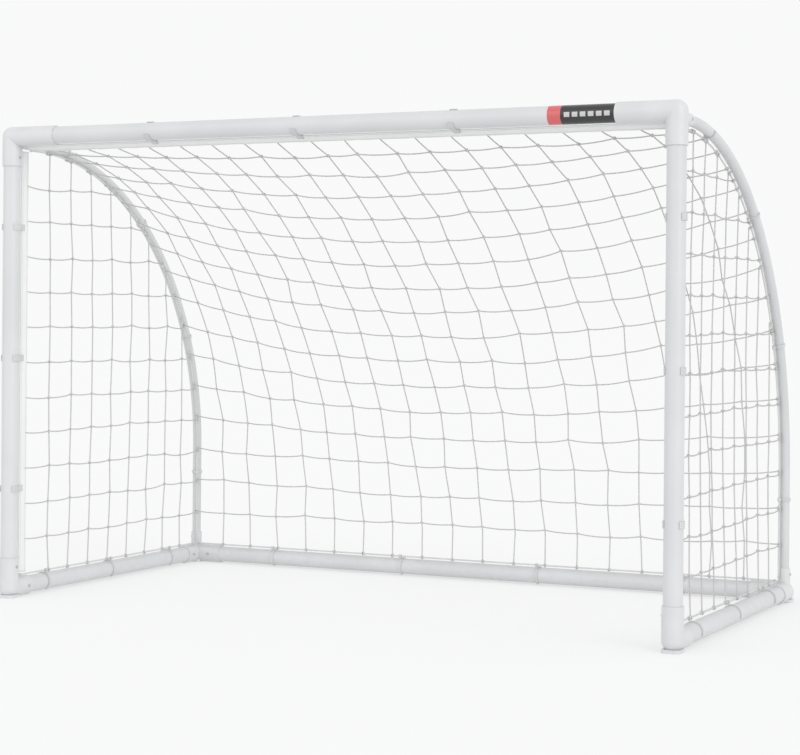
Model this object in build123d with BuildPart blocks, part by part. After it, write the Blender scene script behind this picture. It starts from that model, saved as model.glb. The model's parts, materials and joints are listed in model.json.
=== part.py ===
"""Freestanding soccer goal: round tube frame, curved rear stanchions, corner connectors and a net.

Units are millimetres. X runs along the crossbar, +Y from the goal mouth to the rear, +Z up.
The origin is on the ground, under the middle of the frame. The net panels are plain closed
solids that hold the place of the knotted mesh.
"""

import os
from math import asin, cos, degrees, pi, radians, sin

from build123d import *

# ---------------------------------------------------------------- driving dimensions
goal_width = 1830.0
goal_height = 1210.0
goal_depth = 970.0

tube_d = 44.0
tube_wall = 1.5
connector_d = 50.0
stanchion_d = 25.0
stanchion_wall = 1.5
stanchion_socket_d = 31.0
stanchion_bend_r = 830.0
stanchion_drop = 13.0           # the stanchion's top end lies this far below the crossbar's axis

socket_play = 0.2               # radial clearance of a tube in its socket
tube_stop = 30.0                # distance from a corner's axis to the end of each tube
end_play = 0.5                  # gap between a tube's end and its stop
core_r = 17.0                   # the hollow that joins the sockets inside a connector
stop_ledge = 2.0                # least width of the ledge that a tube stops against
mouth_round = 1.2

crossbar_arm = 138.0            # corner axis to the mouth of each socket
post_arm = 76.0
side_base_arm = 74.0
rear_base_arm = 88.0
stanchion_top_arm = 82.0
stanchion_foot_arm = 62.0

foot_pad_size = 44.0
foot_pad_height = 8.0
foot_pad_corner = 10.0
foot_pad_drop = 1.0             # the pads stand this far below the sockets

button_r = 3.8
button_hole_r = 4.0
button_flange_r = 6.2
button_dome = 1.5
button_stand_out = 2.2
crossbar_button_at = 100.0      # corner axis to the button, along the tube
short_button_at = 54.0

leaf_width = 9.0
leaf_thickness = 1.2
leaf_reach = 40.0               # from the button's axis to the start of the leaf spring's bend
leaf_tail = 7.0                 # how far both leaves run past the button's axis
leaf_gap = 0.2                  # between the upper leaf and the button's flange
leaf_stand_off = 1.6            # tube wall to the middle of the lower leaf

screw_r = 2.0
screw_hole_r = 2.1
screw_head_r = 3.8
screw_head_height = 2.2
screw_length = 11.0
screw_head_gap = 0.05
screw_head_taper = 20.0         # degrees
top_screw_at = 62.0             # corner axis to the screw, along the stanchion
foot_screw_at = 46.0

hem_width = 30.0
hem_thickness = 3.0
hem_round = 1.2
hem_slope = 25.0                # downward slope of the crossbar's hem, degrees
top_hem_back = 14.0             # crossbar axis to the hem's upper edge, rearward
top_hem_drop = 22.0             # and downward
top_hem_short = 28.0            # each end stops this far inside the posts' axes
post_hem_back = 26.0            # post axis to the hem's front edge
post_hem_short = 22.0           # the hem stops this far under the stanchion's axis
rope_r = 2.5
rope_play = 0.3
rope_gap = 6.0                  # ropes and hems that would meet end this far apart
rope_start = 4.0                # the foot ropes start this far behind the hem's front edge
rear_rope_gap = 8.0             # the side foot ropes stop this far before the rear one
net_gap = 0.3                   # between the panels and the hooks
panel_start = 0.5               # the side panels start this far behind the hem
panel_overlap = 12.0            # the back panel starts this far over the post hems' rear edge
back_foot_gap = 3.0             # the back panel ends this far above the hooks
panel_thickness = 2.0
net_inset = 10.0                # side nets hang this far inside the posts' axes
seam_offset = 18.0              # the seam rope follows the stanchion at this distance inside its bend
foot_rope_rise = 30.0           # ropes above the base tubes' axes
net_sag = 158.0                 # deepest sag of the back net in the middle of the goal
sag_end = 0.95                  # fraction of the net's profile length where the sag dies out
sag_droop = 0.35                # share of the sag that is straight down
sag_least = 3.0
back_strips = 8
back_columns = 5
patch_gap = 1.0

clip_width = 16.0
clip_wall = 2.4
clip_play = 0.3
clip_mouth = 100.0              # opening angle of a clip, degrees
prong = 1.6
slot_play = 0.6                 # a hem's slot is this much wider than the hem
jaw_reach = 12.0                # the jaws grip this much of the hem
jaw_root = 10.0                 # and reach this far back to the ring
neck_width = 3.2
crossbar_clips_x = (-470.0, -58.0, 354.0)
post_clips_z = (280.0, 616.0, 953.0)
side_base_clips_y = (-313.0, -9.0, 295.0)
rear_base_clips_x = (-620.0, -207.0, 207.0, 620.0)
stanchion_clip_steps = (150.0, 560.0, 970.0, 1380.0)   # along the stanchion from its bend's start

sticker_left = 593.0
sticker_right = 751.0
sticker_film = 0.3
sticker_gap = 0.03
sticker_wrap = 152.0            # degrees around the front of the crossbar

# ---------------------------------------------------------------- derived places
tube_r = tube_d / 2
connector_r = connector_d / 2
stanchion_r = stanchion_d / 2
corner_x = goal_width / 2 - connector_r
front_y = -(goal_depth / 2 - connector_r)
rear_y = -front_y
base_z = connector_r + foot_pad_drop
crossbar_z = goal_height - connector_r
stanchion_top_z = crossbar_z - stanchion_drop
bend_y = rear_y - stanchion_bend_r
bend_z = stanchion_top_z - stanchion_bend_r
socket_r = tube_r + socket_play
sides = (("left", -1), ("right", 1))

axis_x = Vector(1, 0, 0)
axis_y = Vector(0, 1, 0)
axis_z = Vector(0, 0, 1)


def save(builder, label):
    """Label a finished piece and write it to its own file."""
    builder.part.label = label
    export_step(builder.part, f"parts/{label}.step")


def straight_tube(start, direction, length, outer_r, wall, holes=()):
    """A hollow tube; holes are (point, direction, radius) drilled through one wall."""
    with BuildPart() as tube:
        with BuildSketch(Plane(origin=start, z_dir=direction)):
            Circle(outer_r)
            Circle(outer_r - wall, mode=Mode.SUBTRACT)
        extrude(amount=length)
        for point, hole_dir, hole_r in holes:
            with BuildSketch(Plane(origin=point, z_dir=hole_dir)):
                Circle(hole_r)
            extrude(amount=2 * outer_r, mode=Mode.SUBTRACT)
    return tube


def stanchion_path(offset, start_y, end_z):
    """Wire in the YZ plane that follows the stanchion, offset to the inside of its bend."""
    bend_r = stanchion_bend_r - offset
    top = stanchion_top_z - offset
    back = rear_y - offset
    with BuildLine(Plane.YZ) as path:
        Line((start_y, top), (bend_y, top))
        RadiusArc((bend_y, top), (back, bend_z), bend_r)
        Line((back, bend_z), (back, end_z))
    return path.line


# ---------------------------------------------------------------- lock positions
# Each lock is (name, corner, direction of the tube, direction of the button, distance).
locks = []
for side, sign in sides:
    top = Vector(sign * corner_x, front_y, crossbar_z)
    foot = Vector(sign * corner_x, front_y, base_z)
    rear = Vector(sign * corner_x, rear_y, base_z)
    inward = axis_x * -sign
    locks.append((f"crossbar_{side}", top, inward, axis_y, crossbar_button_at))
    locks.append((f"post_top_{side}", top, -axis_z, inward, short_button_at))
    locks.append((f"post_foot_{side}", foot, axis_z, inward, short_button_at))
    locks.append((f"side_base_front_{side}", foot, axis_y, inward, short_button_at))
    locks.append((f"side_base_rear_{side}", rear, -axis_y, inward, short_button_at))
    locks.append((f"rear_base_{side}", rear, inward, -axis_y, short_button_at))


def lock_holes(*names):
    """Button holes of the named locks."""
    return [
        (corner + run * at, out, button_hole_r)
        for name, corner, run, out, at in locks
        if name in names
    ]


# Each stanchion screw is (point on the stanchion's axis, direction of the head).
screws = []
for side, sign in sides:
    inward = axis_x * -sign
    screws.append((side, Vector(sign * corner_x, front_y + top_screw_at, stanchion_top_z), -inward))
    screws.append((side, Vector(sign * corner_x, rear_y, base_z + foot_screw_at), -inward))


def screw_holes(side):
    """Screw holes of the stanchion on one side."""
    return [(point, out, screw_hole_r) for owner, point, out in screws if owner == side]


# ---------------------------------------------------------------- frame tubes
def make_posts():
    for side, sign in sides:
        post = straight_tube(
            (sign * corner_x, front_y, base_z + tube_stop),
            (0, 0, 1),
            crossbar_z - base_z - 2 * tube_stop,
            tube_r,
            tube_wall,
            lock_holes(f"post_top_{side}", f"post_foot_{side}"),
        )
        save(post, f"{side}_post")


def make_crossbar():
    crossbar = straight_tube(
        (-corner_x + tube_stop, front_y, crossbar_z),
        (1, 0, 0),
        2 * (corner_x - tube_stop),
        tube_r,
        tube_wall,
        lock_holes("crossbar_left", "crossbar_right"),
    )
    save(crossbar, "crossbar")


def make_base_tubes():
    for side, sign in sides:
        base = straight_tube(
            (sign * corner_x, front_y + tube_stop, base_z),
            (0, 1, 0),
            rear_y - front_y - 2 * tube_stop,
            tube_r,
            tube_wall,
            lock_holes(f"side_base_front_{side}", f"side_base_rear_{side}"),
        )
        save(base, f"{side}_side_base_tube")
    rear_base = straight_tube(
        (-corner_x + tube_stop, rear_y, base_z),
        (1, 0, 0),
        2 * (corner_x - tube_stop),
        tube_r,
        tube_wall,
        lock_holes("rear_base_left", "rear_base_right"),
    )
    save(rear_base, "rear_base_tube")


def make_stanchions():
    for side, sign in sides:
        path = stanchion_path(0, front_y + tube_stop, base_z + tube_stop).moved(
            Location((sign * corner_x, 0, 0))
        )
        with BuildPart() as stanchion:
            with BuildSketch(Plane(origin=path @ 0, z_dir=path % 0)):
                Circle(stanchion_r)
                Circle(stanchion_r - stanchion_wall, mode=Mode.SUBTRACT)
            sweep(path=path)
            for point, out, hole_r in screw_holes(side):
                with BuildSketch(Plane(origin=point, z_dir=out)):
                    Circle(hole_r)
                extrude(amount=stanchion_d, mode=Mode.SUBTRACT)
        save(stanchion, f"{side}_stanchion")


# ---------------------------------------------------------------- corner connectors
def connector(corner, arms, holes, pad=False):
    """A corner connector with a ball at its corner and blind sockets that end at the tube stops.

    Each arm is (origin, direction, reach, outer radius, bore radius).
    """
    ball_top = (corner.X, corner.Z + connector_r)
    ball_side = (corner.X + connector_r, corner.Z)
    ball_bottom = (corner.X, corner.Z - connector_r)
    with BuildPart() as body:
        with BuildSketch(Plane.XZ.offset(-corner.Y)):
            with BuildLine():
                ThreePointArc(ball_top, ball_side, ball_bottom)
                Line(ball_bottom, ball_top)
            make_face()
        revolve(axis=Axis((corner.X, corner.Y, corner.Z), (0, 0, 1)))
        for origin, direction, reach, outer_r, _ in arms:
            with BuildSketch(Plane(origin=origin, z_dir=direction)):
                Circle(outer_r)
            extrude(amount=reach)
        mouths = [
            body.edges().filter_by(GeomType.CIRCLE).sort_by_distance(Vector(*o) + Vector(*d) * reach)[0]
            for o, d, reach, _, _ in arms
        ]
        fillet(mouths, mouth_round)
        if pad:
            with BuildSketch(Plane.XY):
                with Locations((corner.X, corner.Y)):
                    RectangleRounded(foot_pad_size, foot_pad_size, foot_pad_corner)
            extrude(amount=foot_pad_height)
        for origin, direction, reach, _, bore_r in arms:
            stop = Vector(*origin) + Vector(*direction) * (tube_stop - end_play)
            with BuildSketch(Plane(origin=stop, z_dir=direction)):
                Circle(bore_r)
            extrude(amount=reach, mode=Mode.SUBTRACT)
            with BuildSketch(Plane(origin=origin, z_dir=direction)):
                Circle(min(core_r, bore_r - stop_ledge))
            extrude(amount=reach, mode=Mode.SUBTRACT)
        for point, out, hole_r in holes:
            with BuildSketch(Plane(origin=point, z_dir=out)):
                Circle(hole_r)
            extrude(amount=connector_d, mode=Mode.SUBTRACT)
    return body


def make_connectors():
    thin_bore = stanchion_r + socket_play
    thin_r = stanchion_socket_d / 2
    for side, sign in sides:
        inward = (-sign, 0, 0)
        top = Vector(sign * corner_x, front_y, crossbar_z)
        foot = Vector(sign * corner_x, front_y, base_z)
        rear = Vector(sign * corner_x, rear_y, base_z)
        stanchion_top = (sign * corner_x, front_y, stanchion_top_z)
        top_screw, rear_screw = screw_holes(side)

        top_arms = [
            (tuple(top), inward, crossbar_arm, connector_r, socket_r),
            (tuple(top), (0, 0, -1), post_arm, connector_r, socket_r),
            (stanchion_top, (0, 1, 0), stanchion_top_arm, thin_r, thin_bore),
        ]
        top_holes = lock_holes(f"crossbar_{side}", f"post_top_{side}") + [top_screw]
        save(connector(top, top_arms, top_holes), f"{side}_top_connector")

        foot_arms = [
            (tuple(foot), (0, 0, 1), post_arm, connector_r, socket_r),
            (tuple(foot), (0, 1, 0), side_base_arm, connector_r, socket_r),
        ]
        foot_holes = lock_holes(f"post_foot_{side}", f"side_base_front_{side}")
        save(connector(foot, foot_arms, foot_holes, pad=True), f"{side}_front_foot_connector")

        rear_arms = [
            (tuple(rear), (0, -1, 0), side_base_arm, connector_r, socket_r),
            (tuple(rear), inward, rear_base_arm, connector_r, socket_r),
            (tuple(rear), (0, 0, 1), stanchion_foot_arm, thin_r, thin_bore),
        ]
        rear_holes = lock_holes(f"side_base_rear_{side}", f"rear_base_{side}") + [rear_screw]
        save(connector(rear, rear_arms, rear_holes, pad=True), f"{side}_rear_connector")


# ---------------------------------------------------------------- locks and screws
button_top = connector_r + button_stand_out
flange_top = 18.0
flange_bottom = flange_top - 1.6


def make_lock_buttons():
    """Domed push buttons with a flange inside the tube."""
    for name, corner, run, out, at in locks:
        seat = Plane(origin=corner + run * at, x_dir=run, z_dir=out)
        with BuildPart() as button:
            with BuildSketch(seat.offset(flange_bottom)):
                Circle(button_flange_r)
            extrude(amount=flange_top - flange_bottom)
            with BuildSketch(seat.offset(flange_top)):
                Circle(button_r)
            extrude(amount=button_top - flange_top)
            rim = button.edges().filter_by(GeomType.CIRCLE).sort_by_distance(seat.origin)[-1]
            fillet(rim, button_dome)
        save(button, f"lock_button_{name}")


def make_lock_springs():
    """U-shaped leaf springs inside the tubes, one behind each button."""
    upper = flange_bottom - leaf_thickness / 2 - leaf_gap
    lower = leaf_stand_off + tube_wall - tube_r
    bend_r = (upper - lower) / 2
    with BuildPart() as springs:
        for _, corner, run, out, at in locks:
            side_view = Plane(origin=corner + run * at, x_dir=run, z_dir=run.cross(out))
            with BuildSketch(side_view):
                with BuildLine():
                    Line((-leaf_tail, upper), (leaf_reach, upper))
                    ThreePointArc(
                        (leaf_reach, upper),
                        (leaf_reach + bend_r, upper - bend_r),
                        (leaf_reach, lower),
                    )
                    Line((leaf_reach, lower), (-leaf_tail, lower))
                trace(line_width=leaf_thickness)
            extrude(amount=leaf_width / 2, both=True)
    save(springs, "lock_springs")


def make_stanchion_screws():
    """Round-headed screws through the thin sockets into the stanchions."""
    head_seat = stanchion_socket_d / 2 + screw_head_gap
    with BuildPart() as all_screws:
        for _, point, out in screws:
            with BuildSketch(Plane(origin=point + out * (head_seat - screw_length), z_dir=out)):
                Circle(screw_r)
            extrude(amount=screw_length)
            with BuildSketch(Plane(origin=point + out * head_seat, z_dir=out)):
                Circle(screw_head_r)
            extrude(amount=screw_head_height, taper=screw_head_taper)
    save(all_screws, "stanchion_screws")


# ---------------------------------------------------------------- net edging
net_x = corner_x - net_inset
hem_start_y = front_y + top_hem_back
hem_start_z = crossbar_z - top_hem_drop
post_hem_y = front_y + post_hem_back
post_hem_top = stanchion_top_z - post_hem_short
foot_rope_z = base_z + foot_rope_rise
edging_foot = foot_rope_z + rope_gap
seam_y = rear_y - seam_offset
hook_outer_r = rope_r + rope_play + prong


def make_hems():
    """Tape sewn round the net's front edge, under the crossbar and behind the posts."""
    slope = Plane(
        origin=(0, hem_start_y, hem_start_z),
        x_dir=(0, cos(radians(hem_slope)), -sin(radians(hem_slope))),
        z_dir=(1, 0, 0),
    )
    with BuildPart() as top_hem:
        with BuildSketch(slope):
            with Locations((hem_width / 2, 0)):
                RectangleRounded(hem_width, hem_thickness, hem_round)
        extrude(amount=corner_x - top_hem_short, both=True)
    save(top_hem, "net_top_hem")
    for side, sign in sides:
        with BuildPart() as hem:
            with BuildSketch(Plane.XY.offset(edging_foot)):
                with Locations((sign * net_x, post_hem_y + hem_width / 2)):
                    RectangleRounded(hem_thickness, hem_width, hem_round)
            extrude(amount=post_hem_top - edging_foot)
        save(hem, f"net_{side}_post_hem")


def make_ropes():
    """Border ropes above the base tubes and along the stanchions."""
    first_y = post_hem_y + rope_start
    for side, sign in sides:
        with BuildPart() as foot_rope:
            with BuildSketch(Plane(origin=(sign * net_x, first_y, foot_rope_z), z_dir=(0, 1, 0))):
                Circle(rope_r)
            extrude(amount=seam_y - rear_rope_gap - first_y)
        save(foot_rope, f"net_{side}_foot_rope")

        path = stanchion_path(seam_offset, post_hem_y + hem_width + rope_gap, edging_foot).moved(
            Location((sign * net_x, 0, 0))
        )
        with BuildPart() as seam_rope:
            with BuildSketch(Plane(origin=path @ 0, z_dir=path % 0)):
                Circle(rope_r)
            sweep(path=path)
        save(seam_rope, f"net_{side}_seam_rope")
    with BuildPart() as rear_rope:
        with BuildSketch(Plane(origin=(0, seam_y, foot_rope_z), z_dir=(1, 0, 0))):
            Circle(rope_r)
        extrude(amount=net_x - rope_gap, both=True)
    save(rear_rope, "net_rear_foot_rope")


# ---------------------------------------------------------------- net panels
def make_side_nets():
    """Flat side panels between the post hem, the seam rope and the foot rope."""
    edge = hook_outer_r + net_gap
    start_y = post_hem_y + hem_width + panel_start
    low = foot_rope_z + edge
    top = stanchion_top_z - seam_offset - edge
    back = seam_y - edge
    arc_r = stanchion_bend_r - seam_offset - edge
    for side, sign in sides:
        with BuildPart() as panel:
            with BuildSketch(Plane.YZ.offset(sign * net_x)):
                with BuildLine():
                    Polyline((bend_y, top), (start_y, top), (start_y, low), (back, low), (back, bend_z))
                    RadiusArc((bend_y, top), (back, bend_z), arc_r)
                make_face()
            extrude(amount=panel_thickness / 2, both=True)
        save(panel, f"net_{side}_side")


profile_start_y = post_hem_y + hem_width - panel_overlap
profile_flat = bend_y - profile_start_y
profile_arc_r = stanchion_bend_r - seam_offset
profile_arc = profile_arc_r * pi / 2
profile_drop = bend_z - (foot_rope_z + hook_outer_r + back_foot_gap)
profile_length = profile_flat + profile_arc + profile_drop
back_reach = net_x - hook_outer_r - net_gap


def profile_point(run):
    """Point (y, z) on the back net's edge and the inward normal, at a distance along the edge."""
    if run < profile_flat:
        return profile_start_y + run, bend_z + profile_arc_r, 0.0, -1.0
    turn = (run - profile_flat) / profile_arc_r
    if turn < pi / 2:
        y = bend_y + profile_arc_r * sin(turn)
        z = bend_z + profile_arc_r * cos(turn)
        return y, z, -sin(turn), -cos(turn)
    return seam_y, bend_z - (run - profile_flat - profile_arc), -1.0, 0.0


def sag_at(run):
    """Depth of the sag in the middle of the goal."""
    share = min(1.0, run / profile_length / sag_end)
    return max(sag_least, net_sag * sin(pi * share))


def patch_edge(run, first_x, last_x):
    """A thin band across part of the goal, at a distance along the profile, bowed by the sag."""
    y, z, normal_y, normal_z = profile_point(run)
    sag_dir = Vector(0, normal_y * (1 - sag_droop), normal_z * (1 - sag_droop) - sag_droop)
    deepest = sag_at(run) * sag_dir.length
    lower = [(x, deepest * (1 - (x / back_reach) ** 2)) for x in (first_x, (first_x + last_x) / 2, last_x)]
    upper = [(x, depth + panel_thickness) for x, depth in lower]
    with BuildSketch(Plane(origin=(0, y, z), x_dir=(1, 0, 0), z_dir=axis_x.cross(sag_dir))) as band:
        with BuildLine():
            ThreePointArc(*lower)
            Line(lower[2], upper[2])
            ThreePointArc(*reversed(upper))
            Line(upper[0], lower[0])
        make_face()
    return band.sketch


def make_back_net():
    """The roof and back of the net, in patches that follow its sag."""
    step = profile_length / back_strips
    width = 2 * back_reach / back_columns
    with BuildPart() as back:
        for strip in range(back_strips):
            for column in range(back_columns):
                first_x = -back_reach + column * width + patch_gap / 2
                last_x = first_x + width - patch_gap
                add(patch_edge(strip * step + patch_gap / 2, first_x, last_x))
                add(patch_edge((strip + 1) * step - patch_gap / 2, first_x, last_x))
                loft(ruled=True)
    save(back, "net_back")


# ---------------------------------------------------------------- net clips
def ring_profile(inner_r, mouth_dir):
    """A C-shaped ring, open towards mouth_dir (degrees)."""
    Circle(inner_r + clip_wall)
    Circle(inner_r, mode=Mode.SUBTRACT)
    half = radians(clip_mouth / 2)
    centre = radians(mouth_dir)
    beyond = 3 * inner_r
    corners = [
        (beyond * cos(centre + turn), beyond * sin(centre + turn))
        for turn in (-half, half)
    ]
    with BuildLine() as wedge:
        Polyline((0, 0), *corners, close=True)
    make_face(wedge.edges(), mode=Mode.SUBTRACT)


def hem_clip(plane, start, angle):
    """Clip for the large tube with a slotted jaw; the hem starts at a point and runs at an angle."""
    inner_r = tube_r + clip_play
    slot_width = hem_thickness + slot_play
    slot_depth = hem_width + slot_width
    jaw_length = jaw_reach + jaw_root
    jaw = Pos(*start) * Rot(0, 0, angle)
    with BuildSketch(plane) as profile:
        slot = Rectangle(slot_depth, slot_width, mode=Mode.PRIVATE)
        block = Rectangle(jaw_length, slot_width + 2 * prong, mode=Mode.PRIVATE)
        ring_profile(inner_r, angle + 180)
        add(jaw * Pos(jaw_reach - jaw_length / 2, 0) * block)
        Circle(inner_r, mode=Mode.SUBTRACT)
        add(jaw * Pos(slot_depth / 2 - panel_start, 0) * slot, mode=Mode.SUBTRACT)
    extrude(profile.sketch, amount=clip_width / 2, both=True)


def rope_clip(plane, pipe_r, rope_at):
    """Clip for a tube with a small hook round a rope at the given offset."""
    inner_r = pipe_r + clip_play
    rope = Vector(rope_at[0], rope_at[1])
    angle = degrees(asin(rope.Y / rope.length))
    if rope.X < 0:
        angle = 180 - angle
    with BuildSketch(plane) as profile:
        neck = Rectangle(rope.length, neck_width, mode=Mode.PRIVATE)
        ring_profile(inner_r, angle + 180)
        with Locations(rope_at):
            Circle(hook_outer_r)
        add(Rot(0, 0, angle) * Pos(rope.length / 2, 0) * neck)
        Circle(inner_r, mode=Mode.SUBTRACT)
        with Locations(rope_at):
            Circle(rope_r + rope_play, mode=Mode.SUBTRACT)
    extrude(profile.sketch, amount=clip_width / 4, both=True)


def make_clips():
    with BuildPart() as crossbar_clips:
        for x in crossbar_clips_x:
            plane = Plane(origin=(x, front_y, crossbar_z), x_dir=(0, 1, 0), z_dir=(1, 0, 0))
            hem_clip(plane, (hem_start_y - front_y, hem_start_z - crossbar_z), -hem_slope)
    save(crossbar_clips, "crossbar_net_clips")

    with BuildPart() as rear_clips:
        for x in rear_base_clips_x:
            plane = Plane(origin=(x, rear_y, base_z), x_dir=(0, 1, 0), z_dir=(1, 0, 0))
            rope_clip(plane, tube_r, (-seam_offset, foot_rope_rise))
    save(rear_clips, "rear_base_net_clips")

    for side, sign in sides:
        with BuildPart() as post_clips:
            for z in post_clips_z:
                plane = Plane(origin=(sign * corner_x, front_y, z), x_dir=(1, 0, 0), z_dir=(0, 0, 1))
                hem_clip(plane, (-sign * net_inset, post_hem_y - front_y), 90)
        save(post_clips, f"{side}_post_net_clips")

        with BuildPart() as base_clips:
            for y in side_base_clips_y:
                plane = Plane(origin=(sign * corner_x, y, base_z), x_dir=(1, 0, 0), z_dir=(0, -1, 0))
                rope_clip(plane, tube_r, (-sign * net_inset, foot_rope_rise))
        save(base_clips, f"{side}_base_net_clips")

        with BuildPart() as stanchion_clips:
            for step in stanchion_clip_steps:
                turn = min(pi / 2, step / stanchion_bend_r)
                drop = max(0.0, step - stanchion_bend_r * pi / 2)
                spot = Vector(
                    sign * corner_x,
                    bend_y + stanchion_bend_r * sin(turn),
                    bend_z + stanchion_bend_r * cos(turn) - drop,
                )
                along = Vector(0, cos(turn), -sin(turn))
                plane = Plane(origin=spot, x_dir=(1, 0, 0), z_dir=along)
                rope_clip(plane, stanchion_r, (-sign * net_inset, seam_offset))
        save(stanchion_clips, f"{side}_stanchion_net_clips")


# ---------------------------------------------------------------- sticker
def make_sticker():
    """A plain film wrapped round the front of the crossbar, beside its right-hand socket."""
    half = radians(sticker_wrap / 2)
    film_r = tube_r + sticker_gap
    beyond = Vector(8 * tube_r * cos(half), 8 * tube_r * sin(half))
    start = Plane(origin=(sticker_left, front_y, crossbar_z), x_dir=(0, 1, 0), z_dir=(1, 0, 0))
    with BuildPart() as sticker:
        with BuildSketch(start):
            Circle(film_r + sticker_film)
            Circle(film_r, mode=Mode.SUBTRACT)
            with BuildLine():
                Polyline((0, 0), (-beyond.X, beyond.Y), (-beyond.X, -beyond.Y), close=True)
            make_face(mode=Mode.INTERSECT)
        extrude(amount=sticker_right - sticker_left)
    save(sticker, "sticker")


def main():
    os.makedirs("parts", exist_ok=True)
    make_posts()
    make_crossbar()
    make_base_tubes()
    make_stanchions()
    make_connectors()
    make_lock_buttons()
    make_lock_springs()
    make_stanchion_screws()
    make_hems()
    make_ropes()
    make_side_nets()
    make_back_net()
    make_clips()
    make_sticker()


main()
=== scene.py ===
"""Looks of the freestanding soccer goal: finishes for its frame, and its knotted net.

The net's twine, knots, hems and border ropes are built here, in the places that the frame keeps for them.
Everything is in metres, in the frame's own axes: X along the crossbar, +Y to the rear, +Z up.
"""

import json
from math import cos, pi, radians, sin

import bpy
import numpy as np
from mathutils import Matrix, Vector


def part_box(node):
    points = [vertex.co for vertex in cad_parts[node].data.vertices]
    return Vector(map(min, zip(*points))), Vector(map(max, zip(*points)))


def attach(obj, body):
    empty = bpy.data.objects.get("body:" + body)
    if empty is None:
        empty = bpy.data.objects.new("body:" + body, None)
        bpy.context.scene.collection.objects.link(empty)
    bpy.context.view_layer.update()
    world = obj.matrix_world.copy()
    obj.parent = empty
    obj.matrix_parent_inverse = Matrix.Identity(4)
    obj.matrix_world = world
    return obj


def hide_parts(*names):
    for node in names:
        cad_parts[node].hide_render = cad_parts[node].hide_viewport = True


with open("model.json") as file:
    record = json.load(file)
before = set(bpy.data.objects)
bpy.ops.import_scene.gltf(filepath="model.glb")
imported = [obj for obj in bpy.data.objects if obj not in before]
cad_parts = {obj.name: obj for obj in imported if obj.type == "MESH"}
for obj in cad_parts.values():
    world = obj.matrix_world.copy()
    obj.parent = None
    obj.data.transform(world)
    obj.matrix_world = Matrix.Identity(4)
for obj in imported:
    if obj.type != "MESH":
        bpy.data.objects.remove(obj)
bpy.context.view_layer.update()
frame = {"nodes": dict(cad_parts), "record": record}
rng = np.random.default_rng(11)

# ---------------------------------------------------------------- net dimensions
TWINE_R = 0.00190
TWINE_LAY = 0.018               # length of one full turn of the twine's three strands
TWINE_STEP = 0.0025             # distance between the twine's rings
STRAND_GROOVE = 0.24            # depth of the grooves between strands, as a share of the radius
KNOT_R = 0.0034                 # centre line of the turns that make a knot
KNOT_TWINE_R = 0.00150          # pulled tight, the twine is thinner in a knot
LOOP_SHIFT = 0.0016             # each of a tie's two turns lies this far from its middle
KNOT_SCATTER = 0.0040           # how far the knots lie off a perfect grid
CORD_SLACK = 0.0028             # drop of the twine between two knots

BACK_COLUMNS = 18
BACK_ROWS = 16
SIDE_COLUMNS = 8
SIDE_ROWS = 11
SIDE_BILLOW = 0.012
SEAM_BEND_R = 0.812             # radius of the seam ropes' bend
SAG = 0.158                     # deepest sag of the back net
SAG_END = 0.95                  # share of the net's length where its sag dies out
SAG_DROOP = 0.35                # share of the sag that is straight down

ROPE_R = 0.00245
ROPE_LAY = 0.020
ROPE_STEP = 0.0013
CLIP_CLEARANCE = 0.0108         # the net's loops keep this far from the middle of a clip
CLIP_PITCH_LEAST = 0.05         # points further apart than this belong to different clips
ARC_MARGIN = 0.015              # side knots lie at least this far inside the seam rope's bend
TUCK = 0.008                    # the net's cords start this far ahead of its edge, inside the hems
NET_START_GAP = 0.003           # from the crossbar hem's rear edge to the start of the net's profile

WHIPPING_TURNS = 5
WHIPPING_START = 0.0020         # from a rope's end to the first turn
WHIPPING_PITCH = 0.0011
WHIPPING_R = 0.0006

TAPE_WIDTH = 0.030
TAPE_THICKNESS = 0.0022
PIPING_R = 0.0014
TAPE_STEP = 0.006
STITCH_PITCH = 0.0052
STITCH_R = 0.00032
STITCH_SINK = 0.92              # the thread lies at this share of the tape's half thickness
STITCH_ROWS = (0.0058, 0.0252)  # distances of the two rows from the fold
RIPPLE = 0.00022                # height of the tape's ripples
EDGE_WANDER = 0.0004            # how far the tape's free edge wanders in its width
TOP_HEM_SLOPE = radians(25)
FOLD_LIFT = 0.0015              # half the thickness of the hem's CAD solid
FOLD_AHEAD = 0.0006             # that solid reaches this far ahead of the fold's middle

# ---------------------------------------------------------------- places, from the frame
X_AXIS = np.array([1.0, 0.0, 0.0])
Y_AXIS = np.array([0.0, 1.0, 0.0])
Z_AXIS = np.array([0.0, 0.0, 1.0])
SIDES = (("left", -1), ("right", 1))

seam_low, seam_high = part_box("net_right_seam_rope")
foot_low, foot_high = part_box("net_right_foot_rope")
rear_rope_low, rear_rope_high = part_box("net_rear_foot_rope")
_, post_hem_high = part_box("net_right_post_hem")
top_hem_low, top_hem_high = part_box("net_top_hem")

net_x = (seam_low.x + seam_high.x) / 2
rope_half = (foot_high.z - foot_low.z) / 2
seam_top = seam_high.z - rope_half
seam_back = seam_high.y - rope_half
foot_rope_z = (foot_low.z + foot_high.z) / 2
bend_y = seam_back - SEAM_BEND_R
bend_z = seam_top - SEAM_BEND_R
hem_edge_y = post_hem_high.y
profile_start = top_hem_high.y + NET_START_GAP
profile_flat = bend_y - profile_start
profile_arc = SEAM_BEND_R * pi / 2
profile_length = profile_flat + profile_arc + bend_z - foot_rope_z


def centres(node, axis):
    """Middles, along one axis, of the separate clips in a CAD node."""
    spots = np.array([v.co[axis] for v in frame["nodes"][node].data.vertices])
    spots = np.unique(np.round(spots, 4))
    gaps = np.flatnonzero(np.diff(spots) > CLIP_PITCH_LEAST)
    starts = np.concatenate([[0], gaps + 1])
    ends = np.concatenate([gaps, [len(spots) - 1]])
    return (spots[starts] + spots[ends]) / 2


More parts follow.
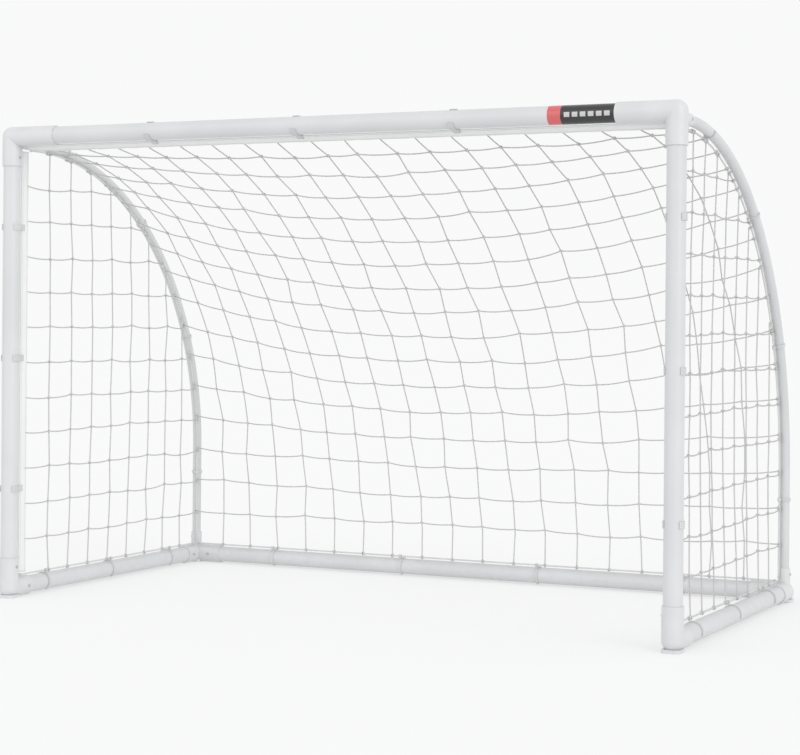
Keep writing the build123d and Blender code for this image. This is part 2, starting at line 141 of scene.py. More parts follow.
# ---------------------------------------------------------------- swept meshes
def along(line, across, closed=False):
    """Two unit normals at each point of a line; the line never runs along across."""
    if closed:
        ahead = np.roll(line, -1, axis=0) - np.roll(line, 1, axis=0)
    else:
        ahead = np.gradient(line, axis=0)
    ahead /= np.linalg.norm(ahead, axis=1, keepdims=True)
    side = np.cross(ahead, across)
    side /= np.linalg.norm(side, axis=1, keepdims=True)
    return side, np.cross(ahead, side)


class Sweep:
    """Collects swept shapes and makes one mesh of them, with U round the section and V along it."""

    def __init__(self):
        self.points, self.quads, self.quad_uvs, self.caps, self.count = [], [], [], [], 0

    def section(self, line, rings, closed=False):
        """Joins rings of points, one at each point of the line."""
        many, sides = rings.shape[:2]
        steps = np.linalg.norm(np.diff(line, axis=0), axis=1)
        run = np.concatenate([[0.0], np.cumsum(steps)])
        spans = many if closed else many - 1
        ring = np.arange(spans)[:, None]
        corner = np.arange(sides)[None, :]
        next_ring = (ring + 1) % many
        next_corner = (corner + 1) % sides
        quads = np.stack(
            [
                ring * sides + corner,
                ring * sides + next_corner,
                next_ring * sides + next_corner,
                next_ring * sides + corner,
            ],
            axis=-1,
        ).reshape(-1, 4)
        low = np.broadcast_to(run[:spans, None], (spans, sides))
        high = low + (np.roll(run, -1)[:spans, None] - run[:spans, None] if not closed else run[1])
        left = np.broadcast_to(corner / sides, (spans, sides))
        right = left + 1 / sides
        uv = np.stack([left, low, right, low, right, high, left, high], axis=-1).reshape(-1, 2)
        self.points.append(rings.reshape(-1, 3))
        self.quads.append(quads + self.count)
        self.quad_uvs.append(uv)
        if not closed:
            first = np.arange(sides)[::-1] + self.count
            last = np.arange(sides) + self.count + (many - 1) * sides
            self.caps += [first.tolist(), last.tolist()]
        self.count += many * sides

    def tube(self, line, across, radius, sides=6, groove=0.0, lay=None, closed=False):
        """A tube round a line. With a groove every second corner is lower, and they wind round it."""
        line = np.asarray(line, float)
        side, lift = along(line, across, closed)
        run = np.concatenate([[0.0], np.cumsum(np.linalg.norm(np.diff(line, axis=0), axis=1))])
        turn = 2 * pi * run / lay if lay else 0 * run
        angle = turn[:, None] + 2 * pi * np.arange(sides) / sides
        reach = radius * (1 - groove * (np.arange(sides) % 2))
        rings = line[:, None] + reach[None, :, None] * (
            np.cos(angle)[..., None] * side[:, None] + np.sin(angle)[..., None] * lift[:, None]
        )
        self.section(line, rings, closed)

    def piece(self, name, material, slot, *nodes):
        """The mesh as a piece of the goal that rides on the frame and stands for some CAD nodes."""
        points = np.concatenate(self.points)
        faces = np.concatenate(self.quads).tolist() + self.caps
        mesh = bpy.data.meshes.new(name)
        mesh.from_pydata(points.tolist(), [], faces)
        uvs = np.zeros((len(mesh.loops), 2))
        quad_uvs = np.concatenate(self.quad_uvs)
        uvs[: len(quad_uvs)] = quad_uvs
        mesh.uv_layers.new(name="lay").data.foreach_set("uv", uvs.ravel())
        mesh.polygons.foreach_set("use_smooth", np.ones(len(mesh.polygons), bool))
        mesh.materials.append(material)
        mesh.validate()
        piece = bpy.data.objects.new(name, mesh)
        bpy.context.scene.collection.objects.link(piece)
        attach(piece, "frame")
        if nodes:
            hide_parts(*nodes)
        return piece


def spread(first, last, step):
    """Even steps from first to last, about step apart."""
    return np.linspace(first, last, max(2, int(round(abs(last - first) / step)) + 1))


def ring_line(centre, normal, radius, points=10):
    """A closed circle round a centre, in the plane that a normal gives."""
    normal = normal / np.linalg.norm(normal)
    helper = X_AXIS if abs(normal[0]) < 0.8 else Y_AXIS
    first = np.cross(normal, helper)
    first /= np.linalg.norm(first)
    second = np.cross(normal, first)
    angle = 2 * pi * np.arange(points) / points
    return centre + radius * (np.outer(np.cos(angle), first) + np.outer(np.sin(angle), second))


# ---------------------------------------------------------------- materials
class Finish:
    """A material whose colour, roughness and relief come from nodes."""

    def __init__(self, name, roughness, **sockets):
        self.material = bpy.data.materials.new(name)
        self.material.use_nodes = True
        self.tree = self.material.node_tree
        self.shader = self.tree.nodes["Principled BSDF"]
        self.shader.inputs["Roughness"].default_value = roughness
        for socket, value in sockets.items():
            self.shader.inputs[socket.replace("_", " ")].default_value = value
        self.place = self.tree.nodes.new("ShaderNodeTexCoord")

    def link(self, source, target):
        self.tree.links.new(source, target)

    def math(self, operation, first, second=None, third=None):
        node = self.tree.nodes.new("ShaderNodeMath")
        node.operation = operation
        for socket, value in zip(node.inputs, (first, second, third)):
            if isinstance(value, (int, float)):
                socket.default_value = value
            elif value is not None:
                self.link(value, socket)
        return node.outputs[0]

    def scaled(self, stretch):
        """Object coordinates, scaled by three factors."""
        mapping = self.tree.nodes.new("ShaderNodeMapping")
        mapping.inputs["Scale"].default_value = stretch
        self.link(self.place.outputs["Object"], mapping.inputs["Vector"])
        return mapping.outputs[0]

    def noise(self, scale, detail=3.0, rough=0.5, stretch=(1, 1, 1)):
        node = self.tree.nodes.new("ShaderNodeTexNoise")
        node.inputs["Scale"].default_value = scale
        node.inputs["Detail"].default_value = detail
        node.inputs["Roughness"].default_value = rough
        self.link(self.scaled(stretch), node.inputs["Vector"])
        return node.outputs["Fac"]

    def span(self, value, low, high, to_low=0.0, to_high=1.0):
        """A value mapped from one range to another, smoothly, and held at its ends."""
        node = self.tree.nodes.new("ShaderNodeMapRange")
        node.interpolation_type = "SMOOTHSTEP"
        ends = (low, high, to_low, to_high)
        for socket, end in zip(("From Min", "From Max", "To Min", "To Max"), ends):
            node.inputs[socket].default_value = end
        self.link(value, node.inputs["Value"])
        return node.outputs["Result"]

    def blend(self, share, first, second):
        """A colour between two others; each is three numbers or a colour socket."""
        node = self.tree.nodes.new("ShaderNodeMix")
        node.data_type = "RGBA"
        self.link(share, node.inputs["Factor"])
        for name, colour in (("A", first), ("B", second)):
            socket = next(s for s in node.inputs if s.name == name and s.type == "RGBA")
            if isinstance(colour, tuple):
                socket.default_value = (*colour, 1)
            else:
                self.link(colour, socket)
        return next(s for s in node.outputs if s.type == "RGBA")

    def colour(self, source):
        self.link(source, self.shader.inputs["Base Color"])

    def rough(self, source):
        self.link(source, self.shader.inputs["Roughness"])

    def relief(self, *layers):
        """Bumps, each given as (height, distance in metres, strength)."""
        normal = None
        for height, distance, strength in layers:
            bump = self.tree.nodes.new("ShaderNodeBump")
            bump.inputs["Distance"].default_value = distance
            bump.inputs["Strength"].default_value = strength
            self.link(height, bump.inputs["Height"])
            if normal:
                self.link(normal, bump.inputs["Normal"])
            normal = bump.outputs["Normal"]
        self.link(normal, self.shader.inputs["Normal"])

    def strands(self, around, lay):
        """0 to 1 over strands that wind round a cord, from its own U and V."""
        split = self.tree.nodes.new("ShaderNodeSeparateXYZ")
        self.link(self.place.outputs["UV"], split.inputs[0])
        wound = self.math("MULTIPLY_ADD", split.outputs["X"], float(around), 0.0)
        phase = self.math("MULTIPLY_ADD", split.outputs["Y"], 1 / lay, wound)
        wave = self.math("SINE", self.math("MULTIPLY", phase, 2 * pi))
        return self.math("MULTIPLY_ADD", wave, 0.5, 0.5)

    def axes(self):
        """A point's X, Y and Z in the goal's own axes."""
        split = self.tree.nodes.new("ShaderNodeSeparateXYZ")
        self.link(self.place.outputs["Object"], split.inputs[0])
        return split.outputs


def powder_coat(name, light, dark):
    """White satin powder coat: fine orange peel, faint clouding, a little dust near the ground."""
    coat = Finish(name, 0.42, Specular_IOR_Level=0.45, Coat_Weight=0.12, Coat_Roughness=0.3)
    clouds = coat.span(coat.noise(5.0, 4.0), 0.35, 0.65)
    specks = coat.span(coat.noise(420.0, 2.0), 0.66, 0.72)
    grounded = coat.span(coat.axes()["Z"], 0.01, 0.10, 1.0, 0.0)
    dust = coat.math("MULTIPLY", grounded, coat.span(coat.noise(60.0, 5.0, 0.7), 0.45, 0.7))
    clean = coat.blend(clouds, dark, light)
    speckled = coat.blend(coat.math("MULTIPLY", specks, 0.10), clean, (0.45, 0.45, 0.44))
    coat.colour(coat.blend(coat.math("MULTIPLY", dust, 0.22), speckled, (0.50, 0.48, 0.44)))
    coat.rough(coat.span(coat.noise(30.0, 4.0), 0.3, 0.7, 0.36, 0.50))
    coat.relief((coat.noise(750.0, 2.0), 0.0003, 0.30), (coat.noise(90.0, 2.0), 0.0004, 0.12))
    return coat.material


def moulded(name, light, dark, roughness, grain):
    """Moulded plastic with fine grain, flow clouding and small scuffs."""
    plastic = Finish(name, roughness, Specular_IOR_Level=0.5)
    clouds = plastic.span(plastic.noise(14.0, 3.0), 0.35, 0.65)
    scuffs = plastic.span(plastic.noise(55.0, 6.0, 0.75, (1.0, 4.0, 1.5)), 0.62, 0.72)
    tone = plastic.blend(clouds, dark, light)
    plastic.colour(plastic.blend(plastic.math("MULTIPLY", scuffs, 0.25), tone, tuple(0.8 * c for c in dark)))
    plastic.rough(plastic.span(plastic.noise(45.0, 4.0), 0.3, 0.7, roughness - 0.06, roughness + 0.10))
    plastic.relief((plastic.noise(1500.0, 1.0), 0.0002, grain), (scuffs, 0.0002, 0.10))
    return plastic.material


def steel(name, light, dark, roughness):
    """Plated steel with fine drawing lines and a mottled lustre."""
    metal = Finish(name, roughness, Metallic=1.0)
    lines = metal.noise(400.0, 3.0, 0.6, (0.3, 3.0, 3.0))
    mottle = metal.span(metal.noise(130.0, 4.0), 0.35, 0.7)
    metal.colour(metal.blend(mottle, dark, light))
    metal.rough(metal.span(lines, 0.3, 0.7, roughness - 0.08, roughness + 0.12))
    metal.relief((lines, 0.0002, 0.25))
    return metal.material


def laid_cord(name, light, dark, around, lay, fuzz):
    """White cord of wound strands, with shadow in its grooves and loose fibres."""
    cord = Finish(name, 0.72, Specular_IOR_Level=0.30, Sheen_Weight=0.25, Sheen_Roughness=0.45)
    strands = cord.strands(around, lay)
    fibres = cord.noise(2600.0, 3.0, 0.6)
    patches = cord.span(cord.noise(9.0, 4.0), 0.3, 0.7)
    body = cord.blend(patches, tuple(0.94 * c for c in light), light)
    cord.colour(cord.blend(cord.span(strands, 0.0, 0.55), dark, body))
    cord.rough(cord.span(fibres, 0.3, 0.7, 0.62, 0.84))
    cord.relief((strands, 0.0005, 0.55), (fibres, 0.0003, fuzz))
    return cord.material


def woven_tape(name, light, dark, warp, weft):
    """Plain-woven tape: ribs along and across it, from its own U and V, with painted shade in the hollows
    between the ribs.
    """
    tape = Finish(name, 0.80, Specular_IOR_Level=0.25, Sheen_Weight=0.35, Sheen_Roughness=0.5)
    split = tape.tree.nodes.new("ShaderNodeSeparateXYZ")
    tape.link(tape.place.outputs["UV"], split.inputs[0])
    across = tape.math("SINE", tape.math("MULTIPLY", split.outputs["X"], 2 * pi * warp))
    down = tape.math("SINE", tape.math("MULTIPLY", split.outputs["Y"], 2 * pi / weft))
    weave = tape.math("MULTIPLY_ADD", tape.math("MULTIPLY", across, down), 0.5, 0.5)
    fibres = tape.noise(1800.0, 3.0, 0.6)
    patches = tape.span(tape.noise(11.0, 4.0), 0.3, 0.7)
    body = tape.blend(patches, tuple(0.95 * c for c in light), light)
    # painted shade: the weave's hollows take the darker colour, as if shaded by the ribs
    tape.colour(tape.blend(tape.span(weave, 0.05, 0.6), dark, body))
    tape.rough(tape.span(fibres, 0.3, 0.7, 0.70, 0.90))
    tape.relief((weave, 0.0004, 0.6), (fibres, 0.0003, 0.2))
    return tape.material


def printed_film():
    """Gloss film: a red end, the rest black with a plain row of pale dashes."""
    film = Finish("sticker_print", 0.25, Specular_IOR_Level=0.5, Coat_Weight=0.4, Coat_Roughness=0.12)
    low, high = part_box("sticker")
    place = film.axes()
    red_end = low.x + 0.2 * (high.x - low.x)
    black = film.math("GREATER_THAN", place["X"], red_end)
    middle = film.math("COMPARE", place["Z"], (low.z + high.z) / 2 - 0.001, 0.0055)
    margin, dash_count, dash_share = 0.009, 6, 0.7
    first_dash, last_dash = red_end + margin, high.x - margin
    dash_pitch = (last_dash - first_dash) / (dash_count - 1 + dash_share)
    counted = film.math("DIVIDE", film.math("SUBTRACT", place["X"], first_dash), dash_pitch)
    dashes = film.math("LESS_THAN", film.math("FRACT", counted), dash_share)
    inside = film.math(
        "MULTIPLY",
        film.math("GREATER_THAN", place["X"], first_dash),
        film.math("LESS_THAN", place["X"], last_dash),
    )
    marks = film.math("MULTIPLY", film.math("MULTIPLY", middle, dashes), inside)
    ink = film.noise(900.0, 3.0)
    red = film.blend(ink, (0.56, 0.085, 0.095), (0.64, 0.120, 0.130))
    dark = film.blend(ink, (0.010, 0.010, 0.011), (0.018, 0.018, 0.019))
    ground = film.blend(black, red, dark)
    film.colour(film.blend(marks, ground, (0.50, 0.50, 0.50)))
    film.rough(film.span(film.noise(60.0, 4.0), 0.3, 0.7, 0.20, 0.36))
    film.relief((film.noise(500.0, 2.0), 0.0002, 0.10))
    return film.material


def make_materials():
    """One finish for each of the record's material slots."""
    return {
        "frame_tube": powder_coat("white_powder_coat", (0.61, 0.62, 0.63), (0.58, 0.59, 0.605)),
        "stanchion": powder_coat("stanchion_powder_coat", (0.59, 0.60, 0.61), (0.56, 0.57, 0.58)),
        "connector": moulded("white_moulding", (0.62, 0.63, 0.635), (0.59, 0.60, 0.61), 0.36, 0.18),
        "lock_button": steel("zinc_button", (0.62, 0.63, 0.65), (0.50, 0.51, 0.53), 0.28),
        "spring_steel": steel("oiled_spring", (0.30, 0.30, 0.31), (0.20, 0.20, 0.21), 0.34),
        "screw": steel("zinc_screw", (0.60, 0.61, 0.63), (0.46, 0.47, 0.49), 0.32),
        "net_clip": moulded("clip_plastic", (0.58, 0.59, 0.59), (0.53, 0.54, 0.545), 0.50, 0.30),
        "net_twine": laid_cord("net_twine", (0.65, 0.65, 0.64), (0.44, 0.44, 0.43), 3, TWINE_LAY, 0.30),
        # the hem's darker colour is painted shade for the hollows of its weave
        "net_hem": woven_tape("hem_tape", (0.84, 0.845, 0.845), (0.68, 0.685, 0.69), 24, 0.0016),
        "net_rope": laid_cord("border_rope", (0.72, 0.72, 0.71), (0.48, 0.48, 0.475), 3, ROPE_LAY, 0.35),
        "sticker": printed_film(),
    }


def dress_frame(finishes):
    """Gives each CAD node the finish of its slot in the record."""
    for part in frame["record"]["subparts"]:
        node = frame["nodes"][part["node"]]
        node.data.materials.clear()
        node.data.materials.append(finishes[part["material_slot"]])


# ---------------------------------------------------------------- back net
def net_edge(run):
    """Y and Z on the back net's edge at a distance along it from the hem, and its inward normal."""
    run = np.asarray(run, float)
    turn = np.clip((run - profile_flat) / SEAM_BEND_R, 0.0, pi / 2)
    y = bend_y + np.minimum(run - profile_flat, 0.0) + SEAM_BEND_R * np.sin(turn)
    z = bend_z + SEAM_BEND_R * np.cos(turn) - np.maximum(run - profile_flat - profile_arc, 0.0)
    return y, z, -np.sin(turn), -np.cos(turn)


def back_edge_tangent(run):
    """Unit direction of the net's edge at a distance along it."""
    y0, z0, _, _ = net_edge(run - 0.001)
    y1, z1, _, _ = net_edge(run + 0.001)
    tangent = np.array([0.0, y1 - y0, z1 - z0])
    return tangent / np.linalg.norm(tangent)


def back_point(run, x):
    """Points of the sagging back net, at distances along its edge and across the goal."""
    y, z, normal_y, normal_z = net_edge(run)
    share = np.clip(run / profile_length / SAG_END, 0.0, 1.0)
    depth = SAG * np.sin(pi * share) * (1 - (x / net_x) ** 2)
    y = y + normal_y * (1 - SAG_DROOP) * depth
    z = z + (normal_z * (1 - SAG_DROOP) - SAG_DROOP) * depth
    return np.stack(np.broadcast_arrays(x, y, z), axis=-1)


def clear_of(value, spots, gap=CLIP_CLEARANCE):
    """A place moved just far enough to stay clear of clips."""
    for spot in spots:
        if abs(value - spot) < gap:
            return spot + (gap if value >= spot else -gap)
    return value


def seam_clip_runs():
    """Distances along the net's edge of the clips on a stanchion."""
    node = frame["nodes"]["right_stanchion_net_clips"]
    spots = np.array([v.co[1:] for v in node.data.vertices])
    turn = np.arctan2(spots[:, 0] - bend_y, spots[:, 1] - bend_z)
    run = profile_flat + SEAM_BEND_R * turn
    low = spots[:, 1] < bend_z
    run[low] = profile_flat + profile_arc + bend_z - spots[low, 1]
    run = np.sort(run)
    groups = np.split(run, np.flatnonzero(np.diff(run) > CLIP_PITCH_LEAST) + 1)
    return [(group[0] + group[-1]) / 2 for group in groups]


def hung(cells, *values):
    """Values given at the knots of one cord, at every step along it, with its slack between knots."""
    many = len(values[0])
    place = np.linspace(0, many - 1, int((many - 1) * cells) + 1)
    between = place % 1.0
    slack = 4 * between * (1 - between)
    return [np.interp(place, np.arange(many), value) for value in values], slack


def knot(sweep, centre, row, column):
    """A knot: three tight turns of twine round the crossing of two cords."""
    row = row / np.linalg.norm(row)
    column = column / np.linalg.norm(column)
    out = np.cross(row, column)
    lean = rng.choice((-1.0, 1.0))
    turns = (
        (column + 0.45 * lean * row, 1.00, 0.0),
        (row - 0.40 * lean * out, 0.95, 0.0),
        (row + lean * column + 0.3 * out, 0.85, 0.0010),
    )
    for normal, size, shift in turns:
        middle = centre + shift * out
        sweep.tube(ring_line(middle, normal, KNOT_R * size, 8), normal, KNOT_TWINE_R, 5, closed=True)


def loop(sweep, centre, tangent):
    """Two turns of twine round a rope, where a cord of the net is tied to it."""
    for shift in (-LOOP_SHIFT, LOOP_SHIFT):
        lean = tangent + rng.normal(0.0, 0.12, 3)
        line = ring_line(centre + shift * tangent, lean, ROPE_R + KNOT_TWINE_R, 12)
        sweep.tube(line, lean, KNOT_TWINE_R, 5, closed=True)


def make_back_net(finishes):
    """The roof and back of the net: rows across the goal, columns down it, knots and ties."""
    cell = profile_length / (BACK_ROWS + 1)
    steps = cell / TWINE_STEP
    clip_runs = seam_clip_runs()
    rear_clips = centres("rear_base_net_clips", 0)
    column_x = np.linspace(-net_x, net_x, BACK_COLUMNS + 2)
    row_run = cell * np.arange(1, BACK_ROWS + 1)
    knot_x = column_x[None, 1:-1] + rng.normal(0, KNOT_SCATTER, (BACK_ROWS, BACK_COLUMNS))
    knot_run = row_run[:, None] + rng.normal(0, KNOT_SCATTER, (BACK_ROWS, BACK_COLUMNS))

    rows, columns, knots, ties = Sweep(), Sweep(), Sweep(), Sweep()
    for index in range(BACK_ROWS):
        end = clear_of(row_run[index], clip_runs)
        x = np.concatenate([[-net_x], knot_x[index], [net_x]])
        run = np.concatenate([[end], knot_run[index], [end]])
        (x, run), slack = hung(steps, x, run)
        line = back_point(run, x)
        line[:, 2] -= CORD_SLACK * slack * (0.6 + 0.4 * (1 - (x / net_x) ** 2))
        rows.tube(line, Z_AXIS + 0.3 * Y_AXIS, TWINE_R, 6, STRAND_GROOVE, TWINE_LAY)
        tangent = back_edge_tangent(end)
        for sign in (-1, 1):
            loop(ties, back_point(end, sign * net_x), tangent)

    foot_run = profile_length
    for index in range(BACK_COLUMNS):
        start_x = column_x[index + 1]
        end_x = clear_of(start_x, rear_clips)
        x = np.concatenate([[start_x], knot_x[:, index], [end_x]])
        run = np.concatenate([[-TUCK], knot_run[:, index], [foot_run]])
        (x, run), slack = hung(steps, x, run)
        line = back_point(run, x)
        steep = np.abs(np.gradient(line[:, 2])) / TWINE_STEP
        line[:, 2] -= CORD_SLACK * slack * np.clip(1 - steep, 0, 1) * (run > 0)
        columns.tube(line, X_AXIS, TWINE_R, 6, STRAND_GROOVE, TWINE_LAY)
        loop(ties, back_point(foot_run, end_x), X_AXIS)

    step = 0.002
    for index in range(BACK_ROWS):
        for column in range(BACK_COLUMNS):
            run, x = knot_run[index, column], knot_x[index, column]
            here = back_point(run, x)
            row = back_point(run, x + step) - here
            down = back_point(run + step, x) - here
            knot(knots, here, row, down)

    twine = finishes["net_twine"]
    rows.piece("net_back_rows", twine, "net_twine", "net_back")
    columns.piece("net_back_columns", twine, "net_twine", "net_back")
    knots.piece("net_back_knots", twine, "net_twine", "net_back")
    ties.piece("net_back_ties", twine, "net_twine", "net_back")


# ---------------------------------------------------------------- side nets
def run_at_y(y):
    """Distance along the net's edge where the roof's edge is over a Y."""
    return profile_flat + SEAM_BEND_R * np.arcsin(np.clip((y - bend_y) / SEAM_BEND_R, -0.05, 1.0))


def run_at_z(z):
    """Distance along the net's edge where the rear edge is at a Z."""
    if z < bend_z:
        return profile_flat + profile_arc + bend_z - z
    return profile_flat + SEAM_BEND_R * np.arccos((z - bend_z) / SEAM_BEND_R)


def side_x(sign, y, z):
    """X of a side net, which billows a little into the goal between its edges."""
    deep = (y - hem_edge_y) / (seam_back - hem_edge_y)
    tall = (z - foot_rope_z) / (seam_top - foot_rope_z)
    bulge = np.clip(np.sin(pi * np.clip(deep, 0, 1)) * np.sin(pi * np.clip(tall, 0, 1)), 0, 1)
    return sign * (net_x - SIDE_BILLOW * bulge)


def side_cord(sweep, sign, ys, zs, across):
    """One cord of a side net through its knots."""
    length = np.hypot(np.diff(ys), np.diff(zs)).mean()
    (y, z), slack = hung(length / TWINE_STEP, ys, zs)
    level = np.abs(np.gradient(y)) > np.abs(np.gradient(z))
    z = z - CORD_SLACK * slack * level
    line = np.stack([side_x(sign, y, z), y, z], axis=-1)
    sweep.tube(line, across, TWINE_R, 6, STRAND_GROOVE, TWINE_LAY)


def make_side_net(side, sign, finishes):
    """One side of the net: upright and level cords, their knots, and ties round the ropes."""
    column_y = np.linspace(hem_edge_y, seam_back, SIDE_COLUMNS + 2)[1:-1]
    row_z = np.linspace(foot_rope_z, seam_top, SIDE_ROWS + 2)[1:-1]
    clip_runs = seam_clip_runs()
    base_clips = centres(f"{side}_base_net_clips", 1)
    scatter = rng.normal(0, 0.7 * KNOT_SCATTER, (2, SIDE_ROWS, SIDE_COLUMNS))
    knot_y = column_y[None, :] + scatter[0]
    knot_z = row_z[:, None] + scatter[1]
    reach = np.hypot(np.maximum(knot_y - bend_y, 0), np.maximum(knot_z - bend_z, 0))
    inside = reach < SEAM_BEND_R - ARC_MARGIN

    cords, knots = Sweep(), Sweep()
    for index in range(SIDE_COLUMNS):
        top_run = clear_of(run_at_y(column_y[index]), clip_runs)
        top_y, top_z, _, _ = net_edge(top_run)
        foot_y = clear_of(column_y[index], base_clips)
        kept = inside[:, index]
        ys = np.concatenate([[foot_y], knot_y[kept, index], [top_y]])
        zs = np.concatenate([[foot_rope_z], knot_z[kept, index], [top_z]])
        side_cord(cords, sign, ys, zs, Y_AXIS)
        loop(knots, np.array([sign * net_x, foot_y, foot_rope_z]), Y_AXIS)
        loop(knots, np.array([sign * net_x, top_y, top_z]), back_edge_tangent(top_run))
    for index in range(SIDE_ROWS):
        rear_run = clear_of(run_at_z(row_z[index]), clip_runs)
        rear_y, rear_z, _, _ = net_edge(rear_run)
        kept = inside[index]
        ys = np.concatenate([[hem_edge_y - TUCK], knot_y[index, kept], [rear_y]])
        zs = np.concatenate([[row_z[index]], knot_z[index, kept], [rear_z]])
        side_cord(cords, sign, ys, zs, Z_AXIS)
        loop(knots, np.array([sign * net_x, rear_y, rear_z]), back_edge_tangent(rear_run))
    for y, z in zip(knot_y[inside], knot_z[inside]):
        knot(knots, np.array([side_x(sign, y, z), y, z]), Y_AXIS, -Z_AXIS)

    node = f"net_{side}_side"
    cords.piece(f"net_{side}_cords", finishes["net_twine"], "net_twine", node)
    knots.piece(f"net_{side}_knots", finishes["net_twine"], "net_twine", node)


# ---------------------------------------------------------------- border ropes
def rope(name, line, across, finishes, node):
    """A three-strand rope along a line, with whipping of twine at both ends."""
    sweep = Sweep()
    sides = 12
    side, lift = along(line, across)
    run = np.concatenate([[0.0], np.cumsum(np.linalg.norm(np.diff(line, axis=0), axis=1))])
    round_it = 2 * pi * np.arange(sides) / sides
    reach = ROPE_R * (0.86 + 0.14 * np.cos(3 * round_it))
    angle = 2 * pi * run[:, None] / ROPE_LAY + round_it
    rings = line[:, None] + reach[None, :, None] * (
        np.cos(angle)[..., None] * side[:, None] + np.sin(angle)[..., None] * lift[:, None]
    )
    sweep.section(line, rings)
    for end, step in ((0, 1), (-1, -1)):
        tangent = line[end + step] - line[end]
        tangent /= np.linalg.norm(tangent)
        for turn in range(WHIPPING_TURNS):
            middle = line[end] + tangent * (WHIPPING_START + WHIPPING_PITCH * turn)
            sweep.tube(ring_line(middle, tangent, ROPE_R, 12), tangent, WHIPPING_R, 5, closed=True)
    sweep.piece(name, finishes["net_rope"], "net_rope", node)


def make_ropes(finishes):
    for side, sign in SIDES:
        low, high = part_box(f"net_{side}_foot_rope")
        y = spread(low.y, high.y, ROPE_STEP)
        line = np.stack([np.full_like(y, sign * net_x), y, np.full_like(y, foot_rope_z)], axis=-1)
        rope(f"net_{side}_foot_rope_laid", line, X_AXIS, finishes, f"net_{side}_foot_rope")

        low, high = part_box(f"net_{side}_seam_rope")
        run = spread(low.y - profile_start, profile_length - low.z + foot_rope_z, ROPE_STEP)
        y, z, _, _ = net_edge(run)
        line = np.stack([np.full_like(y, sign * net_x), y, z], axis=-1)
        rope(f"net_{side}_seam_rope_laid", line, X_AXIS, finishes, f"net_{side}_seam_rope")
    x = spread(rear_rope_low.x, rear_rope_high.x, ROPE_STEP)
    rear_y = (rear_rope_low.y + rear_rope_high.y) / 2
    line = np.stack([x, np.full_like(x, rear_y), np.full_like(x, foot_rope_z)], axis=-1)
    rope("net_rear_foot_rope_laid", line, Z_AXIS, finishes, "net_rear_foot_rope")


# ---------------------------------------------------------------- hems
def tape_outline():
    """Section of a folded tape: a round fold with piping in it, then two flat layers to a thin edge.

    Each point is (distance from the fold, distance from the tape's middle).
    """
    half = TAPE_THICKNESS / 2
    top = [(0.0, 0.0), (0.0004, 0.8 * PIPING_R), (PIPING_R, PIPING_R), (2.2 * PIPING_R, 0.95 * PIPING_R)]
    top += [(0.0045, half * 0.80), (0.0075, half), (0.0140, half), (0.0200, half)]
    top += [(0.0240, half * 0.97), (0.0268, half * 0.70), (0.0280, half * 0.98), (0.0296, half * 0.8)]
    bottom = [(across, -lift) for across, lift in reversed(top[1:])]
    return np.array(top + [(TAPE_WIDTH, 0.0)] + bottom)


def stitch(sweep, middle, along_tape, out):
    """One stitch of thread that rises out of the tape and dives back into it."""
    half = 0.36 * STITCH_PITCH
    places = ((-1.0, -0.0005), (-0.6, 0.0002), (0.0, 0.0004), (0.6, 0.0002), (1.0, -0.0005))
    line = np.array([middle + along_tape * half * share + out * lift for share, lift in places])
    sweep.tube(line, np.cross(along_tape, out), STITCH_R, 5)


def hem(name, start, run_dir, width_dir, length, finishes, node):
    """A folded tape with piping, slight ripples and two rows of stitches on both faces."""
    out_dir = np.cross(run_dir, width_dir)
    outline = tape_outline()
    steps = spread(0.0, length, TAPE_STEP)
    phase = rng.uniform(0, 2 * pi, 3)
    long_wave = np.sin(2 * pi * steps / 0.083 + phase[0])
    short_wave = np.sin(2 * pi * steps / 0.031 + phase[1])
    ripple = RIPPLE * (long_wave + 0.6 * short_wave)
    free = EDGE_WANDER * np.sin(2 * pi * steps / 0.047 + phase[2])
    line = start + np.outer(steps, run_dir)
    share = outline[:, 0] / TAPE_WIDTH
    across = outline[None, :, 0] + free[:, None] * share[None, :] ** 2
    lift = outline[None, :, 1] + ripple[:, None] * share[None, :]
    rings = line[:, None] + across[..., None] * width_dir + lift[..., None] * out_dir
    tape = Sweep()
    tape.section(line, rings)
    tape.piece(name, finishes["net_hem"], "net_hem", node)

    thread = Sweep()
    places = np.arange(STITCH_PITCH, length - STITCH_PITCH, STITCH_PITCH)
    for row in STITCH_ROWS:
        for place in places:
            wave = np.interp(place, steps, ripple) * row / TAPE_WIDTH
            for face in (-1, 1):
                lift = face * TAPE_THICKNESS / 2 * STITCH_SINK + wave
                middle = start + run_dir * place + width_dir * row + out_dir * lift
                stitch(thread, middle, run_dir, face * out_dir)
    thread.piece(f"{name}_stitches", finishes["net_rope"], "net_hem", node)


def make_hems(finishes):
    slope = np.array([0.0, cos(TOP_HEM_SLOPE), -sin(TOP_HEM_SLOPE)])
    fold_z = top_hem_high.z - FOLD_LIFT * cos(TOP_HEM_SLOPE)
    fold = np.array([top_hem_low.x, top_hem_low.y + FOLD_AHEAD, fold_z])
    hem("net_top_hem_tape", fold, X_AXIS, slope, top_hem_high.x - top_hem_low.x, finishes, "net_top_hem")
    for side, sign in SIDES:
        low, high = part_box(f"net_{side}_post_hem")
        fold = np.array([sign * net_x, low.y, low.z])
        name = f"net_{side}_post_hem_tape"
        hem(name, fold, Z_AXIS, Y_AXIS, high.z - low.z, finishes, f"net_{side}_post_hem")


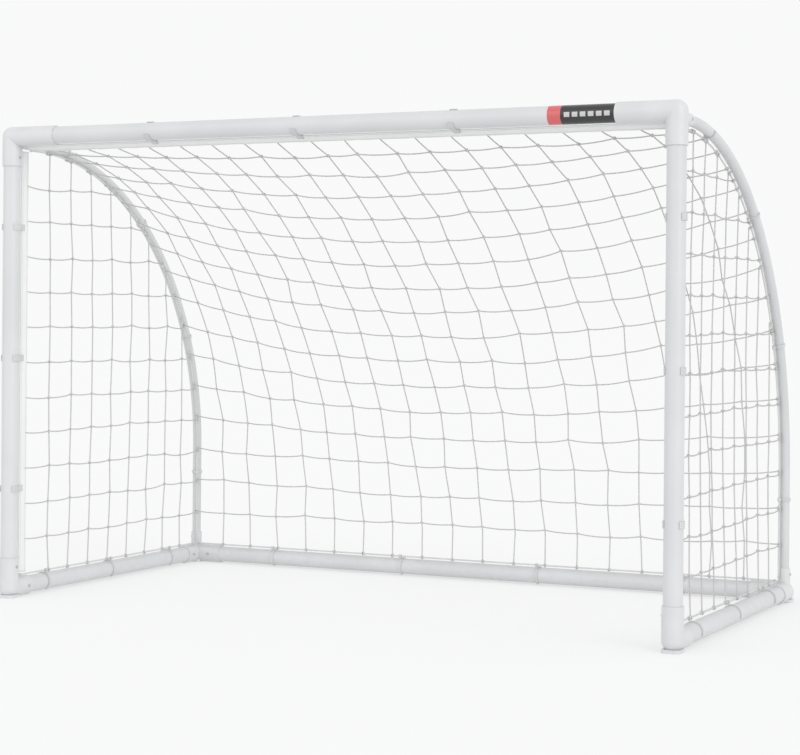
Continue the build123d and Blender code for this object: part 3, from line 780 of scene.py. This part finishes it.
# ---------------------------------------------------------------- stage
def make_floor():
    """A wide pale floor that glows a little, like a light table, so that undersides stay light."""
    bpy.ops.mesh.primitive_plane_add(size=160, location=(0, 0, 0))
    floor = bpy.context.object
    floor.name = "floor"
    glow = {"Emission_Color": (1.0, 1.0, 1.0, 1.0), "Emission_Strength": 0.45}
    pale = Finish("studio_floor", 0.95, Specular_IOR_Level=0.0, **glow)
    pale.colour(pale.blend(pale.noise(1.5, 3.0), (0.456, 0.458, 0.458), (0.464, 0.466, 0.466)))
    floor.data.materials.append(pale.material)


def make_sun(name, energy, tilt, turn, spread_angle):
    """A wide soft light; tilt is its angle from overhead, and turn is where it comes from."""
    lamp = bpy.data.lights.new(name, "SUN")
    lamp.energy = energy
    lamp.angle = radians(spread_angle)
    sun = bpy.data.objects.new(name, lamp)
    sun.rotation_euler = (radians(tilt), 0, radians(turn))
    bpy.context.scene.collection.objects.link(sun)


def make_light():
    """An even white surround, a wide soft key from the front right and a softer fill from the left."""
    world = bpy.data.worlds.new("surround")
    world.use_nodes = True
    sky = world.node_tree.nodes["Background"]
    sky.inputs["Color"].default_value = (0.947, 0.950, 0.950, 1)
    sky.inputs["Strength"].default_value = 1.0
    bpy.context.scene.world = world
    make_sun("key", 1.00, 74, 62, 45)
    make_sun("fill", 0.50, 74, -30, 60)
    bpy.context.scene.view_settings.view_transform = "Standard"


def make_camera():
    """The camera stands to the front right, a little above half the goal's height."""
    lens = bpy.data.cameras.new("camera")
    lens.lens = 91.286
    lens.sensor_width = 36.0
    lens.shift_x = 0.0164
    lens.shift_y = -0.0711
    camera = bpy.data.objects.new("camera", lens)
    camera.location = (2.2781, -4.7199, 0.7220)
    camera.rotation_euler = (radians(89.983), radians(-0.489), radians(26.141))
    bpy.context.scene.collection.objects.link(camera)
    bpy.context.scene.camera = camera


def main():
    make_camera()
    make_floor()
    make_light()
    finishes = make_materials()
    dress_frame(finishes)
    make_back_net(finishes)
    for side, sign in SIDES:
        make_side_net(side, sign, finishes)
    make_ropes(finishes)
    make_hems(finishes)


main()
